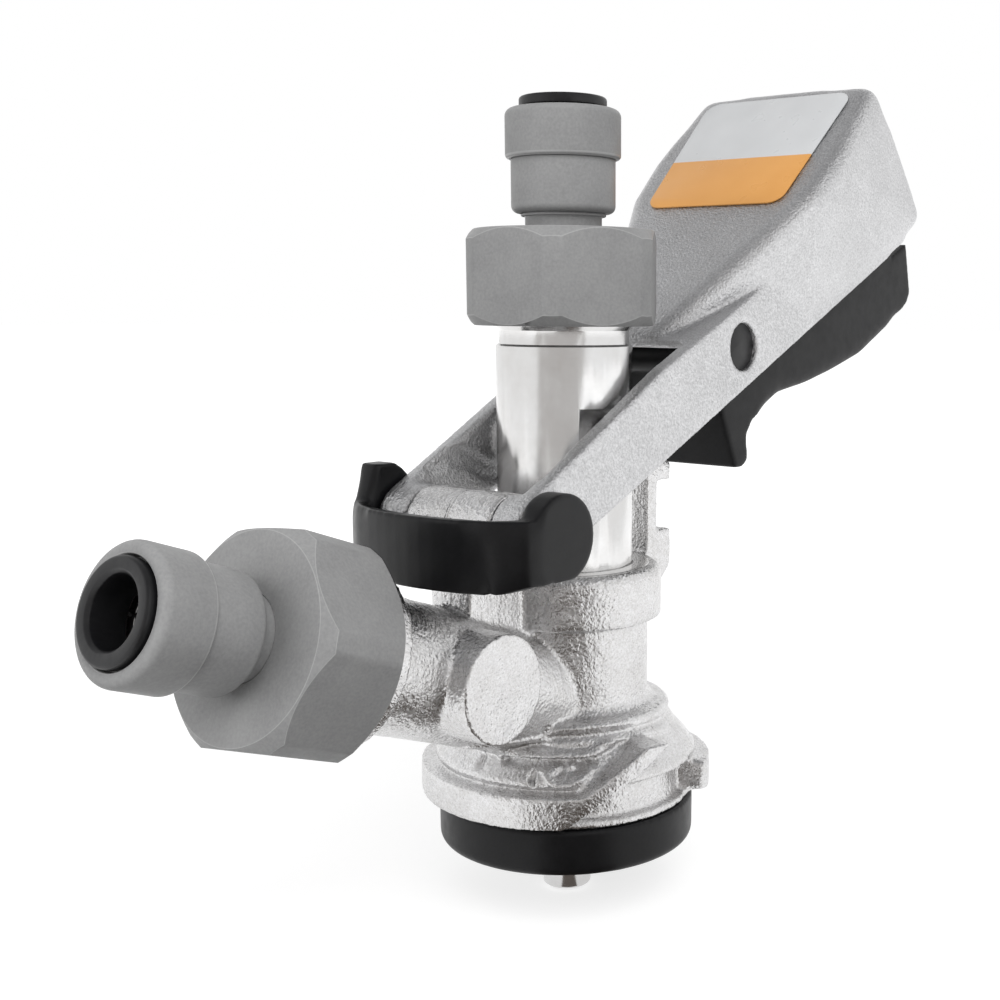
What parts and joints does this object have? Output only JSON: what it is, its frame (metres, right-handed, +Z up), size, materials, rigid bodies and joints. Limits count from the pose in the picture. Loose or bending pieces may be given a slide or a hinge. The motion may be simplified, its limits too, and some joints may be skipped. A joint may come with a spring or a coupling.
{
  "type": "keg coupler",
  "caption": "Lever-operated keg coupler with a sliding beer probe, a bayonet base with a rubber seal, a side gas inlet, a hood-shaped lever with a trigger, and push-in tube fittings.",
  "frame": {"origin": "centre of the keg seal's lower face, on the probe's axis, where the coupler sits on the keg's valve", "axes": "+Z up along the probe towards the beer fitting, -X and up along the gas inlet, +X towards the lever's hood, +Y to the side of the clip's finger tab"},
  "size_m": [0.1913, 0.0496, 0.1429],
  "materials": {
    "cast_body": "bright nickel plated rough casting",
    "probe_steel": "turned and polished stainless",
    "pin_steel": "ground",
    "spring_steel": "drawn wire and strip",
    "handle_metal": "satin blasted die casting",
    "seal_rubber": "smooth moulded",
    "ring_rubber": "smooth",
    "washer_rubber": "matt",
    "valve_rubber": "matt",
    "clip_plastic": "satin black",
    "trigger_plastic": "satin dark grey",
    "fitting_plastic": "grey acetal",
    "collet_plastic": "black acetal",
    "white_plastic": "white acetal",
    "label_plastic": "bare two-colour plate"
  },
  "bodies": {
    "body": {"coupler_body": "cast_body", "keg_seal": "seal_rubber", "guide_orings": "ring_rubber", "gas_check_valve": "valve_rubber", "hinge_pin": "pin_steel", "hinge_clip": "clip_plastic", "gas_nut_washer": "washer_rubber", "gas_fitting_tail": "fitting_plastic", "gas_fitting_socket": "fitting_plastic", "gas_tube_orings": "ring_rubber", "gas_grab_ring": "spring_steel", "gas_fitting_cap": "fitting_plastic"},
    "gas_nut": {"gas_nut": "fitting_plastic"},
    "gas_collet": {"gas_collet": "collet_plastic"},
    "probe": {"probe_tube": "probe_steel", "probe_seal": "seal_rubber", "probe_tip": "probe_steel", "ball_retainer": "white_plastic", "beer_nut_washer": "washer_rubber", "beer_fitting_tail": "fitting_plastic", "beer_fitting_socket": "fitting_plastic", "beer_tube_orings": "ring_rubber", "beer_grab_ring": "spring_steel", "beer_fitting_cap": "fitting_plastic"},
    "check_ball": {"check_ball": "white_plastic"},
    "beer_nut": {"beer_nut": "fitting_plastic"},
    "beer_collet": {"beer_collet": "collet_plastic"},
    "lever": {"handle": "handle_metal", "handle_label": "label_plastic", "trigger_pin": "collet_plastic", "trigger_spring": "spring_steel"},
    "trigger": {"trigger": "trigger_plastic"}
  },
  "joints": [
    {"name": "lever_pivot", "type": "hinge", "parent": "body", "child": "lever", "pos_m": [-0.0227, 0, 0.0568], "axis": [0, 1, 0], "range_deg": [0, 29]},
    {"name": "probe_slide", "type": "slide", "parent": "body", "child": "probe", "axis": [0, 0, -1], "range_m": [0, 0.0125]},
    {"name": "trigger_squeeze", "type": "hinge", "parent": "lever", "child": "trigger", "pos_m": [0.03211, 0, 0.0841], "axis": [0, -1, 0], "range_deg": [0, 4], "stiffness_Nm_per_rad": 0.35, "springref_deg": -8.59, "deforming": ["trigger_spring"]},
    {"name": "beer_nut_spin", "type": "hinge", "parent": "probe", "child": "beer_nut", "pos_m": [0, 0, 0.0957], "axis": [0, 0, 1], "continuous": true},
    {"name": "gas_nut_spin", "type": "hinge", "parent": "body", "child": "gas_nut", "pos_m": [-0.05923, 0, 0.04462], "axis": [-0.9409, 0, 0.3387], "continuous": true},
    {"name": "beer_collet_push", "type": "slide", "parent": "probe", "child": "beer_collet", "axis": [0, 0, -1], "range_m": [0, 0.0015]},
    {"name": "gas_collet_push", "type": "slide", "parent": "body", "child": "gas_collet", "axis": [0.9409, 0, -0.3387], "range_m": [0, 0.0007]},
    {"name": "check_ball_slide", "type": "slide", "parent": "probe", "child": "check_ball", "axis": [0, 0, 1], "range_m": [0, 0.0025]}
  ],
  "couplings": [
    {"joint": "probe_slide", "follows": "lever_pivot", "m_per_rad": 0.024602}
  ]
}
